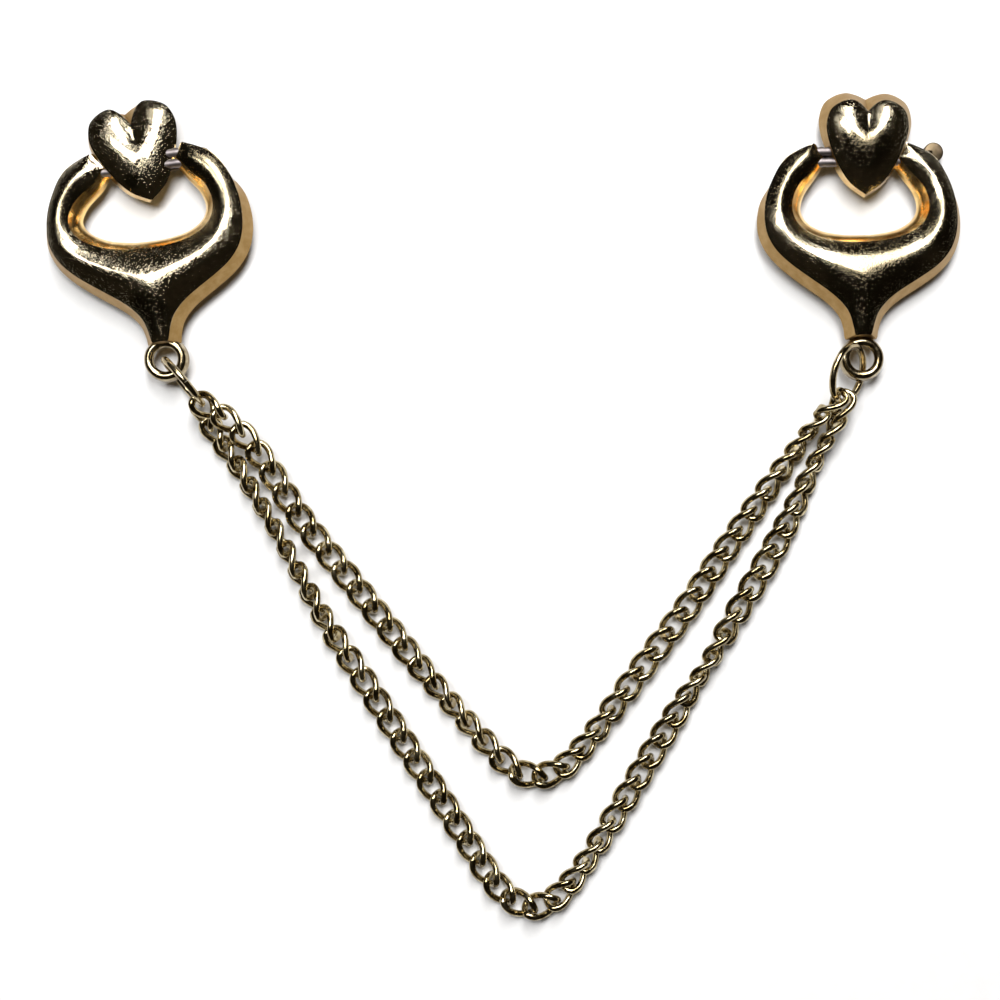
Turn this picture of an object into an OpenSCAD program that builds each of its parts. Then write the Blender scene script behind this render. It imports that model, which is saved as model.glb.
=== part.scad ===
/* [Casting] */
// Height of the leaning side wall, from the flat back to the edge of the dome
wall_h = 1.8; // [1.4:0.1:2.2]
// How far the side wall leans in between its foot and the edge of the dome
wall_lean = 0.8; // [0.5:0.1:0.9]
// Roundness of the puffed top: higher rises more towards the middle
dome_round = 2.2; // [1.8:0.1:2.4]
// How gently the puffed top starts at its edge: higher starts flatter
dome_ease = 2; // [1.5:0.1:2.2]
// Height of the heart's dome above its side wall
heart_dome_h = 1.9; // [1.6:0.1:2.4]
// How much the heart's side wall draws in, as a share of its size
heart_draw = 0.12; // [0.1:0.01:0.14]
// How far the crease between the heart's lobes deepens towards the middle
heart_crease = 1.8; // [1:0.1:2.2]
// Diameter of the cast pegs that join the heart to the arms
peg_d = 1; // [0.9:0.05:1.1]

/* [Eyelet] */
// Radius of the eyelet, to the middle of its wire
eyelet_r = 1.77; // [1.74:0.01:1.8]
// Thickness of the eyelet's wire
eyelet_wire_d = 1; // [0.9:0.05:1.05]
// Distance of the eyelet's centre below the middle of the frame
eyelet_drop = 15.65; // [15.55:0.05:15.75]
// Width of the eyelet's leaning foot beyond its wire
eyelet_foot = 0.1; // [0.05:0.01:0.25]

/* [Pin back] */
// Height of the pin back between the cloth side and the casting
pin_h = 1.6; // [1.5:0.05:1.7]
// Width of the flat bar that is soldered to the back
bar_w = 1.3; // [1:0.1:1.4]
// Thickness of the flat bar
bar_t = 0.4; // [0.3:0.05:0.5]
// Distance from the hinge post to the catch
pin_span = 14; // [13:0.5:14.5]
// Diameter of the round catch
catch_d = 2.1; // [1.8:0.1:2.2]
// Diameter of the hinge post
post_d = 1.3; // [1.2:0.1:1.5]
// Diameter of the pin stem
stem_d = 0.7; // [0.6:0.05:0.8]

/* [Jump rings] */
// Radius of a jump ring, to the middle of its wire
ring_r = 2.975; // [2.9:0.025:3]
// Thickness of a jump ring's wire
ring_wire_d = 0.72; // [0.64:0.02:0.72]

/* [Curb chains] */
// Distance from one link to the next, from which the number of links follows
pitch = 2.6; // [2.58:0.01:2.61]
// Extra length inside a link, over the distance between links
link_slack = 0.48; // [0.46:0.01:0.5]
// Half the width of a link over its wire
link_half_w = 1.42; // [1.38:0.01:1.46]
// Thickness of a link's wire
link_wire_d = 0.6; // [0.54:0.01:0.6]
// Twist of a link's ends out of its plane
link_twist = 60; // [55:1:62]

/* [Hidden] */
$fn = 48;
LEFT = 0;
RIGHT = 1;
// Middle of the whole set in x and y, which becomes the origin
MIDDLE = [0.306, -0.462];

// Place of each brooch: x, y and turn of the frame, share of size of the frame and of the heart,
// turn of the heart on the frame and its shift in x and y, shift of the pin back in x and y,
// shift of the eyelet in y, how much wider the hole's left half is, shift of the heart's face
// in x and y over its foot, tilt of that face to the right, height of the heart's wall as a share,
// how much of its lean it has, how much higher its dome is as a share, depth of the notch at
// the edge of its face
SEATS = [
    [-37.1, 30.25, 7.5, 1.017, 0.945, 8.2, -0.42, -0.22, -1.6, -0.7, 0.25, 0.65,
     0.5, 0, 5, 0.5, -0.08, 0.95, 1.5],
    [37.76, 30.87, 1.1, 1, 1.015, -2, 0.8, 0.15, 0.04, -0.195, -0.15, 0,
     0, -0.55, 0, 1, 1, 1, 0.65]
];
SEAT_X = 0;
SEAT_Y = 1;
SEAT_TURN = 2;
SEAT_FRAME = 3;
SEAT_HEART = 4;
SEAT_HEART_TURN = 5;
SEAT_HEART_X = 6;
SEAT_HEART_Y = 7;
SEAT_PIN_X = 8;
SEAT_PIN_Y = 9;
SEAT_EYELET_Y = 10;
SEAT_HOLE = 11;
SEAT_FACE_X = 12;
SEAT_FACE_Y = 13;
SEAT_TILT = 14;
SEAT_WALL = 15;
SEAT_DRAW = 16;
SEAT_DOME = 17;
SEAT_NOTCH = 18;

// Right half of the open frame at its foot, from the arm's end down to the neck:
// x and y of the hole's edge, x and y of the outer edge, how much fuller the right flank is,
// lean of the hole's wall and of the outer wall as shares, share of a hole that is made wider,
// height of the wall as a share
STATIONS = [
    [3.5, 4.75, 4.77, 6.32, 0, 0.9, -0.5, -0.6, 0.7],
    [4.65, 3.05, 7.2, 5.17, 0, 1.1, -0.5, -0.7, 0.72],
    [5.65, 1.65, 8.72, 3.28, 0, 1.3, -0.35, 0.3, 0.77],
    [6.1, 0.2, 10.35, 0.85, -0.1, 1.3, 0.55, 1, 0.88],
    [5.8, -0.95, 10.7, -2.1, 0, 1.3, 0.85, 0.8, 1],
    [4.95, -1.75, 9.75, -4.5, 0.4, 1.25, 0.9, 0.4, 1],
    [3.85, -2.28, 8, -6.4, 0.6, 1.2, 0.95, 0.1, 1],
    [2.65, -2.55, 5.75, -8.15, 0.45, 1.2, 1, 0, 1],
    [1.6, -2.7, 3.55, -9.8, 0.25, 1.2, 1, 0, 1],
    [0.9, -2.74, 2.15, -11.5, 0.15, 1.2, 1, 0, 1],
    [0.45, -2.75, 1.65, -13.7, 0, 1.2, 1, 0, 1],
    [0, -2.75, 0, -13.7, 0, 1.2, 1, 0, 1]
];
FULLER = 4;
HOLE_LEAN = 5;
RIM_LEAN = 6;
WIDER = 7;
HIGH = 8;

// Right half of the heart's foot, from its tip round the lobe to the notch: x and y
HEART_HALF = [
    [0, 1.1], [1.75, 2.3], [2.95, 3.85], [3.9, 5.7], [4.6, 7.6], [4.8, 9.2],
    [4.35, 10.75], [3.3, 11.6], [2.1, 11.95], [1, 11.75], [0, 11.3]
];
HEART_MID = [0, 6.9];

// Route of each chain through its joints, from the left ring to the right ring:
// x, y, height of the middle or 0 where it lies down, turn about the chain's own line
INNER_ROUTE = [
    [-31.18, 10.46, 3.85, 30],
    [-28.8, 9, 3.5, 34],
    [-26.75, 6.95, 2.6, 28],
    [-25.05, 4.6, 1.5, 22],
    [-23.35, 1.85, 0, 15],
    [-20.8, -2.1, 0, 8],
    [-14.45, -10, 0, 8],
    [-9.45, -16.2, 0, 25],
    [-5.95, -20.35, 0, 50],
    [-2.4, -24.4, 0, 50],
    [0, -27, 0, 34],
    [2.6, -29, 0, 10],
    [5.8, -28.6, 0, 16],
    [8.5, -26.1, 0, 40],
    [11.1, -22.8, 0, 45],
    [14.75, -17.8, 0, 15],
    [19.5, -11.45, 0, 8],
    [23.6, -5.3, 0, 25],
    [27.35, 0.15, 0, 42],
    [30.7, 4.8, 0, 60],
    [32.4, 7.35, 1.9, 78],
    [33.85, 9.25, 2.9, 90],
    [35.55, 10.92, 3.76, 96]
];
OUTER_ROUTE = [
    [-31.5, 10.62, 2.05, 18],
    [-30.65, 8.2, 1.3, 36],
    [-29.3, 6.1, 0, 55],
    [-27.85, 4, 0, 64],
    [-23.6, -3.05, 0, 75],
    [-18.75, -12.05, 0, 60],
    [-14.8, -18.2, 0, 25],
    [-10.15, -25.5, 0, 8],
    [-4.15, -34.75, 0, 8],
    [-1.4, -39.2, 0, 5],
    [0.6, -41.7, 0, 3],
    [3.4, -43, 0, 3],
    [6, -41.8, 0, 15],
    [7.9, -39.45, 0, 40],
    [9.55, -37.15, 0, 52],
    [13.3, -31.1, 0, 25],
    [15.95, -26.65, 0, 15],
    [18.5, -22.4, 0, 30],
    [20.2, -19.65, 0, 58],
    [22.3, -16.4, 0, 78],
    [24.6, -12.3, 0, 40],
    [28.2, -6.2, 0, 8],
    [30.7, -1.4, 0, 40],
    [32.85, 3.45, 0, 68],
    [34.15, 6, 0, 86],
    [35.4, 8.4, 1.6, 102],
    [36.34, 10.97, 2.55, 114]
];

function lerp(a, b, k) = a + (b - a) * k;
function unit(v) = v / norm(v);
function turn(v, a) = [v[0] * cos(a) - v[1] * sin(a), v[0] * sin(a) + v[1] * cos(a)];
function mirror_x(p) = [for (q = p) [-q[0], q[1]]];
function reversed(p) = [for (i = [len(p) - 1:-1:0]) p[i]];

// A smooth curve through the rows of a table, at row i and share k of the way to the next row
function through(rows, i, k) =
    let (
        last = len(rows) - 1,
        a = rows[max(i - 1, 0)],
        b = rows[i],
        c = rows[min(i + 1, last)],
        d = rows[min(i + 2, last)]
    )
    0.5 * (2 * b + (c - a) * k + (2 * a - 5 * b + 4 * c - d) * k * k + (3 * b - a - 3 * c + d) * k * k * k);
function smooth(rows, steps) =
    concat([for (i = [0:len(rows) - 2], s = [0:steps - 1]) through(rows, i, s / steps)], [rows[len(rows) - 1]]);

// Distance from a point to a line of points
function gap_to_edge(p, a, b) =
    let (e = b - a, k = min(max((p - a) * e / (e * e), 0), 1))
    norm(p - a - e * k);
function gap_to_line(p, line) =
    min([for (i = [0:len(line) - 2]) gap_to_edge(p, line[i], line[i + 1])]);

// A line of points moved sideways to its left, each point by its own distance
function beside(line, d) = [
    for (i = [0:len(line) - 1])
        let (t = unit(line[min(i + 1, len(line) - 1)] - line[max(i - 1, 0)]))
        line[i] + d[i] * [-t[1], t[0]]
];

// Faces of a skin over rings of equal length, closed round each ring
function skin(rings, n) = [
    for (r = [0:rings - 2], i = [0:n - 1])
        let (a = r * n + i, b = r * n + (i + 1) % n)
        each [[a, b, b + n], [a, b + n, a + n]]
];
function ring_face(r, n) = [for (i = [0:n - 1]) r * n + i];

// The open frame
STATION_STEPS = 2;
NECK_ROW = len(STATIONS) - 2;
FRAME_ROWS = concat(
    smooth([for (i = [0:NECK_ROW]) STATIONS[i]], STATION_STEPS),
    [lerp(STATIONS[NECK_ROW], STATIONS[NECK_ROW + 1], 0.5), STATIONS[NECK_ROW + 1]]
);
function hole_foot(wider) = [for (r = FRAME_ROWS) [r[0] + wider * r[WIDER], r[1]]];
function hole_edge(foot) = beside(foot, [for (r = FRAME_ROWS) wall_lean * r[HOLE_LEAN]]);
FLANK_WAY = [0.7, -0.7];
RIM_FEET = [
    for (half = [LEFT, RIGHT])
        [for (r = FRAME_ROWS) [r[2], r[3]] + (half == RIGHT ? r[FULLER] : 0) * FLANK_WAY]
];
// The neck's last rows close its top towards the middle, a little above the foot's end
NECK_END_ROWS = 3;
NECK_TOP_Y = -13.4;
RIM_EDGES = [
    for (foot = RIM_FEET)
        let (edge = beside(foot, [for (r = FRAME_ROWS) -wall_lean * r[RIM_LEAN]]))
        [
            for (i = [0:len(foot) - 1])
                i < len(foot) - NECK_END_ROWS ? edge[i] : [min(edge[i][0], foot[i][0] / 2), NECK_TOP_Y]
        ]
];
DOME_STEPS = 8;
// Section of the hole's wall below its edge, as shares of its lean and of its height
HOLE_SECTION = [[0, 0], [0.04, 0.2], [0.2, 0.45], [0.5, 0.71]];

// Height of the dome over a point: it follows the distance to every edge, so it rounds over the
// arms and rises to one soft ridge where they run together into the neck
function dome_z(half, hole, p) =
    let (
        near = [
            gap_to_line(p, hole),
            gap_to_line(p, RIM_EDGES[half]),
            gap_to_line([-p[0], p[1]], RIM_EDGES[1 - half]),
            gap_to_line(p, [hole[0], RIM_EDGES[half][0]])
        ],
        reach = min(near) < 0.001 ? 0 : 1 / norm([for (d = near) 1 / d])
    )
    sqrt(2 * dome_round * (reach + dome_ease)) - sqrt(2 * dome_round * dome_ease);

function frame_half(half, wider) =
    let (foot = hole_foot(wider), hole = hole_edge(foot))
    [
        for (i = [0:len(FRAME_ROWS) - 1])
            let (
                h = hole[i],
                r = RIM_EDGES[half][i],
                rf = RIM_FEET[half][i],
                high = wall_h * FRAME_ROWS[i][HIGH]
            )
            concat(
                [[rf[0], rf[1], 0]],
                [for (q = HOLE_SECTION) let (p = lerp(foot[i], h, q[0])) [p[0], p[1], high * q[1]]],
                [
                    for (s = [0:DOME_STEPS])
                        let (p = lerp(h, r, (1 - cos(180 * s / DOME_STEPS)) / 2))
                        [p[0], p[1], high + dome_z(half, hole, p)]
                ]
            )
    ];

module open_frame(wider) {
    left = frame_half(LEFT, wider);
    rings = concat(
        frame_half(RIGHT, 0),
        [for (i = [len(FRAME_ROWS) - 2:-1:0]) [for (p = left[i]) [-p[0], p[1], p[2]]]]
    );
    n = DOME_STEPS + len(HOLE_SECTION) + 2;
    polyhedron(
        [for (r = rings) each r],
        concat([reversed(ring_face(0, n))], skin(len(rings), n), [ring_face(len(rings) - 1, n)]),
        convexity = 6
    );
}

// The puffed heart: rings drawn in towards its middle, with the notch deepening into a crease
HEART_STEPS = 2;
CREASE_REACH = 2;
function heart_half(crease) = smooth([
    for (p = HEART_HALF)
        let (k = max(1 - p[0] / CREASE_REACH, 0))
        p[1] > HEART_MID[1] ? [p[0], p[1] - crease * k * k] : p
], HEART_STEPS);
function heart_ring(size, crease) =
    let (
        half = heart_half(crease),
        loop = concat(half, reversed([for (i = [1:len(half) - 2]) mirror_x(half)[i]]))
    )
    [for (p = reversed(loop)) (p - HEART_MID) * size];
function tilted(ring, wall, rise, shift, tilt) = [
    for (p = ring)
        [
            p[0] * cos(tilt) + rise * sin(tilt) + shift[0],
            p[1] + shift[1],
            wall + rise * cos(tilt) - p[0] * sin(tilt)
        ]
];
DOME_RINGS = 5;
FIRST_RING_ANGLE = 35;
LAST_RING_ANGLE = 85;
HEART_WALL_H = wall_h + 0.2;

// The heart about its own middle, its face tilted and shifted over the foot
module heart(seat) {
    low = sin(FIRST_RING_ANGLE);
    rings = concat(
        [[for (p = heart_ring(1, 0)) [p[0], p[1], 0]]],
        [
            for (r = [0:DOME_RINGS])
                let (
                    a = lerp(FIRST_RING_ANGLE, LAST_RING_ANGLE, r / DOME_RINGS),
                    rise = (sin(a) - low) / (1 - low),
                    size = (1 - heart_draw * seat[SEAT_DRAW]) * cos(a) / cos(FIRST_RING_ANGLE)
                )
                tilted(
                    heart_ring(size, heart_crease * rise + seat[SEAT_NOTCH]),
                    HEART_WALL_H * seat[SEAT_WALL],
                    heart_dome_h * seat[SEAT_DOME] * rise,
                    [seat[SEAT_FACE_X], seat[SEAT_FACE_Y]],
                    seat[SEAT_TILT]
                )
        ]
    );
    n = len(rings[0]);
    polyhedron(
        [for (r = rings) each r],
        concat([reversed(ring_face(0, n))], skin(len(rings), n), [ring_face(len(rings) - 1, n)]),
        convexity = 6
    );
}

// Two pegs on each side, from inside the heart to inside the arm
PEG_YS = [4.85, 5.95];
PEG_START = 2.2;
PEG_L = 2.7;
PEG_Z = 0.7;
module pegs() {
    for (side = [-1, 1], y = PEG_YS)
        translate([side * PEG_START, y, PEG_Z])
            rotate([0, side * 90, 0])
                cylinder(h = PEG_L, d = peg_d);
}

// A ring of round wire on the frame's back plane, with a short leaning foot round its outside
module eyelet() {
    rotate_extrude() {
        translate([eyelet_r, eyelet_wire_d / 2])
            circle(d = eyelet_wire_d, $fn = 24);
        polygon([
            [eyelet_r, 0],
            [eyelet_r + eyelet_wire_d / 2 + eyelet_foot, 0],
            [eyelet_r + eyelet_wire_d / 2, eyelet_wire_d / 2],
            [eyelet_r, eyelet_wire_d / 2]
        ]);
    }
}

module centred() {
    translate(-MIDDLE)
        children();
}

module on_seat(side) {
    seat = SEATS[side];
    centred()
        translate([seat[SEAT_X], seat[SEAT_Y]])
            rotate(seat[SEAT_TURN])
                children();
}

module heart_frame(side) {
    seat = SEATS[side];
    color("goldenrod")
        on_seat(side)
            translate([0, 0, pin_h]) {
                scale(seat[SEAT_FRAME])
                    open_frame(seat[SEAT_HOLE]);
                translate([seat[SEAT_HEART_X], seat[SEAT_HEART_Y]] + HEART_MID)
                    rotate(seat[SEAT_HEART_TURN])
                        scale(seat[SEAT_HEART])
                            heart(seat);
                pegs();
                translate([0, seat[SEAT_EYELET_Y] - eyelet_drop])
                    eyelet();
            }
}

// One plain piece: a flat bar with a hinge post, a round catch and the stem between them
PIN_Y = 5.7;
POST_X = -6;
STEM_Z = 0.6;
CATCH_Y = 0.35;
module pin_back(side) {
    seat = SEATS[side];
    color("darkgoldenrod")
        on_seat(side)
            translate([POST_X + seat[SEAT_PIN_X], PIN_Y + seat[SEAT_PIN_Y], 0]) {
                translate([0, -bar_w / 2, pin_h - bar_t])
                    cube([pin_span, bar_w, bar_t]);
                cylinder(h = pin_h, d = post_d);
                translate([pin_span, CATCH_Y, 0])
                    cylinder(h = pin_h, d = catch_d);
                translate([0, 0, STEM_Z])
                    rotate([0, 90, 0])
                        cylinder(h = pin_span, d = stem_d);
            }
}

// Jump rings
function eyelet_place(side) =
    let (
        seat = SEATS[side],
        p = [seat[SEAT_X], seat[SEAT_Y]] + turn([0, seat[SEAT_EYELET_Y] - eyelet_drop], seat[SEAT_TURN])
    )
    [p[0], p[1], pin_h + eyelet_wire_d / 2];

module ring() {
    rotate_extrude()
        translate([ring_r, 0])
            circle(d = ring_wire_d, $fn = 24);
}

// The left ring stands on its edge, turned to the chains and leaning a little
LEFT_RING_HEADING = -49;
LEFT_RING_LEAN = 12;
LEFT_RING_INSET = 0.3;
LEFT_RING_MID =
    let (
        e = eyelet_place(LEFT),
        away = turn([1, 0], LEFT_RING_HEADING) * (ring_r + LEFT_RING_INSET)
    )
    [e[0] + away[0], e[1] + away[1], ring_r * cos(LEFT_RING_LEAN) + ring_wire_d / 2];

module left_jump_ring() {
    color("gold")
        centred()
            translate(LEFT_RING_MID)
                rotate(LEFT_RING_HEADING)
                    rotate([90 - LEFT_RING_LEAN, 0, 0])
                        ring();
}

// The right ring leans over, its high side over the eyelet and its low side under it
RIGHT_RING_HEADING = 72;
RIGHT_RING_TILT = 54;
RIGHT_RING_SHIFT = [-1.66, -1.7, 1.2];
RIGHT_RING_MID = eyelet_place(RIGHT) + RIGHT_RING_SHIFT;

module right_jump_ring() {
    color("gold")
        centred()
            translate(RIGHT_RING_MID)
                rotate(RIGHT_RING_HEADING - 90)
                    rotate([0, RIGHT_RING_TILT, 0])
                        ring();
}

// One curb link: an oval of wire whose two ends are twisted opposite ways
LINK_SEGMENTS = 12;
WIRE_SIDES = 5;
LINK_A = (pitch + link_slack + link_wire_d) / 2;
LINK_B = link_half_w - link_wire_d / 2;
OVAL_POWER = 0.7;
ALONG_STEP = 4;
function oval(v) = sign(v) * pow(abs(v), OVAL_POWER);
function link_point(t) =
    let (x = oval(cos(t)), y = LINK_B * oval(sin(t)), a = link_twist * x)
    [LINK_A * x, y * cos(a), y * sin(a)];
function link_ring(t) =
    let (
        a = link_twist * oval(cos(t)),
        along = unit(link_point(t + ALONG_STEP) - link_point(t - ALONG_STEP)),
        out = unit(cross(along, [0, -sin(a), cos(a)])),
        up = cross(out, along)
    )
    [
        for (s = [0:WIRE_SIDES - 1])
            let (w = 360 * s / WIRE_SIDES)
            link_point(t) + link_wire_d / 2 * (out * cos(w) + up * sin(w))
    ];
LINK_POINTS = [for (i = [0:LINK_SEGMENTS - 1]) each link_ring(360 * i / LINK_SEGMENTS)];
LINK_FACES = [
    for (i = [0:LINK_SEGMENTS - 1], s = [0:WIRE_SIDES - 1])
        let (
            j = (i + 1) % LINK_SEGMENTS,
            u = (s + 1) % WIRE_SIDES,
            a = i * WIRE_SIDES + s,
            b = i * WIRE_SIDES + u,
            c = j * WIRE_SIDES + u,
            d = j * WIRE_SIDES + s
        )
        each [[a, b, c], [a, c, d]]
];
// Height of a lying link's middle, so that its lowest point just clears the surface
LYING_GAP = 0.1;
function lying_z(roll) = LYING_GAP - min([for (p = LINK_POINTS) p[1] * sin(roll) + p[2] * cos(roll)]);

// A route as a table of length along it, place and turn
ROUTE_STEPS = 10;
function route_points(route) = [
    for (r = smooth(route, ROUTE_STEPS))
        [r[0], r[1], max(r[2], lying_z(r[3])), r[3]]
];
function place3(r) = [r[0], r[1], r[2]];
function running(p) = [
    for (i = 0, s = 0; i < len(p); i = i + 1, s = s + (i < len(p) ? norm(place3(p[i]) - place3(p[i - 1])) : 0))
        s
];
function column(p, s, c) = [for (i = [0:len(p) - 1]) [s[i], p[i][c]]];

module curb_chain(route) {
    p = route_points(route);
    s = running(p);
    count = round(s[len(s) - 1] / pitch);
    step = s[len(s) - 1] / count;
    x = column(p, s, 0);
    y = column(p, s, 1);
    z = column(p, s, 2);
    roll = column(p, s, 3);
    for (k = [0:count - 1]) {
        a = [lookup(k * step, x), lookup(k * step, y), lookup(k * step, z)];
        b = [lookup((k + 1) * step, x), lookup((k + 1) * step, y), lookup((k + 1) * step, z)];
        turned = lookup((k + 0.5) * step, roll);
        along = unit(b - a);
        flat = unit(cross([0, 0, 1], along));
        up = cross(along, flat);
        wide = flat * cos(turned) + up * sin(turned);
        thick = up * cos(turned) - flat * sin(turned);
        mid = (a + b) / 2;
        multmatrix([
            [along[0], wide[0], thick[0], mid[0]],
            [along[1], wide[1], thick[1], mid[1]],
            [along[2], wide[2], thick[2], mid[2]]
        ])
            polyhedron(LINK_POINTS, LINK_FACES, convexity = 4);
    }
}

module left_heart_frame() {
    heart_frame(LEFT);
}

module right_heart_frame() {
    heart_frame(RIGHT);
}

module left_pin_back() {
    pin_back(LEFT);
}

module right_pin_back() {
    pin_back(RIGHT);
}

module inner_chain() {
    color("gold")
        centred()
            curb_chain(INNER_ROUTE);
}

module outer_chain() {
    color("gold")
        centred()
            curb_chain(OUTER_ROUTE);
}

left_heart_frame();
right_heart_frame();
left_pin_back();
right_pin_back();
left_jump_ring();
right_jump_ring();
inner_chain();
outer_chain();
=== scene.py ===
"""Two heart and crescent pin brooches, joined by two swags of curb chain, lying on pale paper.

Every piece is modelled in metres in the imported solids' own frame. Tables and sizes are in
millimetres, as the maker of such a set would give them, and are scaled when a mesh is made.
Only the studio's lights, paper and clip distances are in metres.
"""

import logging
import math
from dataclasses import dataclass, field
from enum import Enum
from itertools import product
from typing import Sequence

import bmesh
import bpy
import numpy as np
from mathutils import Matrix, Vector


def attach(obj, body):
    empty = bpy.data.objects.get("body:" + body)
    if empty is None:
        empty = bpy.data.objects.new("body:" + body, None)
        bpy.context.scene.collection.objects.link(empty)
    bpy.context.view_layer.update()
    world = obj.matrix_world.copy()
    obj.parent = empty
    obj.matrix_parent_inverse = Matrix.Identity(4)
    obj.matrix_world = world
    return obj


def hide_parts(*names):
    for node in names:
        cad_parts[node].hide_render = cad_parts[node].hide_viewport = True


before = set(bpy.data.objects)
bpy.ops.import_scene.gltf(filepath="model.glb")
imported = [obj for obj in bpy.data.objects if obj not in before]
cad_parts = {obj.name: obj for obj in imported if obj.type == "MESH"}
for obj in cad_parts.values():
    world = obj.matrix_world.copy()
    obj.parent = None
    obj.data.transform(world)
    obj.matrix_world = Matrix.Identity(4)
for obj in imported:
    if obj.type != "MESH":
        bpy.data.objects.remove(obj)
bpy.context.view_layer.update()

LOG = logging.getLogger("brooch_set")
MM = 0.001
Rows = Sequence[Sequence[float]]
Pair = tuple[float, float]
Colour = tuple[float, float, float]


class Side(Enum):
    """Which brooch of the pair, seen from the front."""

    LEFT = "left"
    RIGHT = "right"


class Metal(Enum):
    """Material slots of a cast piece, in the order in which its mesh carries them."""

    FACE = 0
    WALL = 1
    BORE = 2
    PEG = 3
    LOOP = 4


# Shader writing


class Signal:
    """A shader socket that Python expressions can use as a number or as a vector."""

    def __init__(self, graph: "Graph", socket: bpy.types.NodeSocket) -> None:
        """Keeps the socket and the graph that it belongs to."""
        self.graph = graph
        self.socket = socket

    def _math(self, operation: str, *values: "Signal | float") -> "Signal":
        """Adds one Math node."""
        return self.graph.node("ShaderNodeMath", {"operation": operation}, dict(enumerate(values)))

    def __add__(self, other: "Signal | float") -> "Signal":
        """Sum."""
        return self._math("ADD", self, other)

    __radd__ = __add__

    def __sub__(self, other: "Signal | float") -> "Signal":
        """Difference."""
        return self._math("SUBTRACT", self, other)

    def __rsub__(self, other: float) -> "Signal":
        """Difference from a plain number."""
        return self._math("SUBTRACT", other, self)

    def __mul__(self, other: "Signal | float") -> "Signal":
        """Product."""
        return self._math("MULTIPLY", self, other)

    __rmul__ = __mul__

    def __abs__(self) -> "Signal":
        """Size without sign."""
        return self._math("ABSOLUTE", self)

    def over(self, low: float, high: float) -> "Signal":
        """Runs from 0 at low to 1 at high, and stays there.

        Args:
            low: The value that gives 0.
            high: The value that gives 1.

        Returns:
            The eased share.
        """
        settings = {"interpolation_type": "SMOOTHSTEP"}
        values = {"Value": self, "From Min": low, "From Max": high}
        return self.graph.node("ShaderNodeMapRange", settings, values)


class Graph:
    """The node tree of one material."""

    def __init__(self, name: str) -> None:
        """Starts an empty material.

        Args:
            name: The material's name.
        """
        self.material = bpy.data.materials.new(name)
        self.material.use_nodes = True
        self.tree = self.material.node_tree
        self.tree.nodes.clear()

    def node(
        self,
        kind: str,
        settings: dict[str, object] | None = None,
        values: dict[int | str, object] | None = None,
        output: int | str = 0,
    ) -> Signal:
        """Adds a node, sets it up and fills its inputs.

        Args:
            kind: Blender's type of node.
            settings: Its properties, set first.
            values: Its inputs by number or name, each a signal or a plain value.
            output: The output that the signal carries.

        Returns:
            The signal of that output, or of nothing for a node without outputs.
        """
        made = self.tree.nodes.new(kind)
        for name, value in (settings or {}).items():
            setattr(made, name, value)
        for key, value in (values or {}).items():
            if isinstance(value, Signal):
                self.tree.links.new(value.socket, made.inputs[key])
            else:
                made.inputs[key].default_value = value
        return Signal(self, made.outputs[output] if len(made.outputs) else None)

    def millimetres(self, stretch: Sequence[float] = (1, 1, 1), turn: float = 0) -> Signal:
        """The place on the object in millimetres.

        Args:
            stretch: Scale along each axis, after the turn.
            turn: Turn about the upright axis, in degrees.

        Returns:
            The coordinates.
        """
        place = self.node("ShaderNodeTexCoord", output="Object")
        level = self.node("ShaderNodeMapping", {}, {"Vector": place, "Rotation": (0, 0, math.radians(turn))})
        scale = tuple(s / MM for s in stretch)
        return self.node("ShaderNodeVectorMath", {"operation": "MULTIPLY"}, {0: level, 1: scale})

    def noise(self, place: Signal, per_mm: float, detail: float = 2, rough: float = 0.5) -> Signal:
        """Noise of a given fineness.

        Args:
            place: The coordinates in millimetres.
            per_mm: Noise waves in a millimetre.
            detail: How many finer layers it has.
            rough: How strong the finer layers are.

        Returns:
            The noise, about 0.5.
        """
        values = {"Vector": place, "Scale": per_mm, "Detail": detail, "Roughness": rough}
        return self.node("ShaderNodeTexNoise", {}, values)

    def blend(self, share: Signal, low: Sequence[float], high: Sequence[float]) -> Signal:
        """Mixes two colours.

        Args:
            share: 0 for the low colour and 1 for the high one.
            low: The one colour.
            high: The other colour.

        Returns:
            The mixed colour.
        """
        settings = {"data_type": "RGBA"}
        values = {0: share, 6: (*low, 1), 7: (*high, 1)}
        return self.node("ShaderNodeMix", settings, values, output=2)

    def bump(self, height: Signal, depth_mm: float, under: Signal | None = None) -> Signal:
        """Turns a height into a normal.

        Args:
            height: The height, from 0 to 1.
            depth_mm: What a height of 1 measures.
            under: The normal of a coarser relief below it.

        Returns:
            The normal.
        """
        values = {"Height": height, "Distance": depth_mm * MM, "Strength": 1.0}
        if under is not None:
            values["Normal"] = under
        return self.node("ShaderNodeBump", {}, values)

    def surface(self, **sockets: object) -> bpy.types.Material:
        """Ends the graph in a Principled surface.

        Args:
            sockets: The shader's inputs, with underscores for spaces.

        Returns:
            The finished material.
        """
        values = {name.replace("_", " "): value for name, value in sockets.items()}
        shader = self.node("ShaderNodeBsdfPrincipled", {}, values)
        self.node("ShaderNodeOutputMaterial", {}, {"Surface": shader})
        return self.material


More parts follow.
